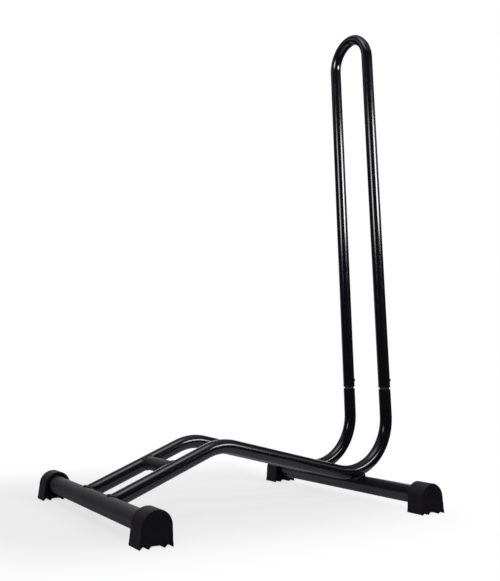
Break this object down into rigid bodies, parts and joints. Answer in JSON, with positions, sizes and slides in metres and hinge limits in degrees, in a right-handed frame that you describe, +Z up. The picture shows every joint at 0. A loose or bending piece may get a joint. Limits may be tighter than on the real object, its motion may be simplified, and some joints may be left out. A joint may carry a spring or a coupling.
{
  "type": "floor bike rack",
  "caption": "Floor bike rack: two cross tubes on ridged foot caps, two humped rails that turn up at the back, and a tall inverted-U hoop plugged on and held by snap buttons.",
  "frame": {"origin": "on the floor under the middle of the rack's overall box", "axes": "+Z up, +X from the front cross tube towards the hoop, +Y to the rack's left, so that the rack is mirror-symmetric about the XZ plane"},
  "size_m": [0.5144, 0.405, 0.8285],
  "materials": {
    "crossbar": "satin dark grey powder coat",
    "brace": "satin dark grey powder coat",
    "rail": "gloss black paint",
    "hoop": "gloss black paint",
    "weld": "gloss black paint over the weld",
    "foot": "matt black moulded plastic",
    "sleeve": "bright plain steel",
    "button": "brown-tinted plated",
    "spring": "spring steel strip"
  },
  "bodies": {
    "rack": {"front_crossbar": "crossbar", "rear_crossbar": "crossbar", "rail_left": "rail", "rail_right": "rail", "brace_tube": "brace", "plug_sleeve_left": "sleeve", "plug_sleeve_right": "sleeve", "leaf_spring_left": "spring", "leaf_spring_right": "spring", "hoop": "hoop", "foot_cap_front_left": "foot", "foot_cap_front_right": "foot", "foot_cap_rear_left": "foot", "foot_cap_rear_right": "foot", "weld_front_left": "weld", "weld_front_right": "weld", "weld_brace_left": "weld", "weld_brace_right": "weld", "weld_rear_left": "weld", "weld_rear_right": "weld"},
    "button_left": {"snap_button_left": "button"},
    "button_right": {"snap_button_right": "button"}
  },
  "joints": [
    {"name": "button_left_press", "type": "slide", "parent": "rack", "child": "button_left", "axis": [-0.9998, 0, -0.0223], "range_m": [0, 0.0062], "stiffness_N_per_m": 1000, "springref_m": -0.004, "deforming": ["leaf_spring_left"]},
    {"name": "button_right_press", "type": "slide", "parent": "rack", "child": "button_right", "axis": [-0.9998, 0, -0.0223], "range_m": [0, 0.0062], "stiffness_N_per_m": 1000, "springref_m": -0.004, "deforming": ["leaf_spring_right"]}
  ]
}
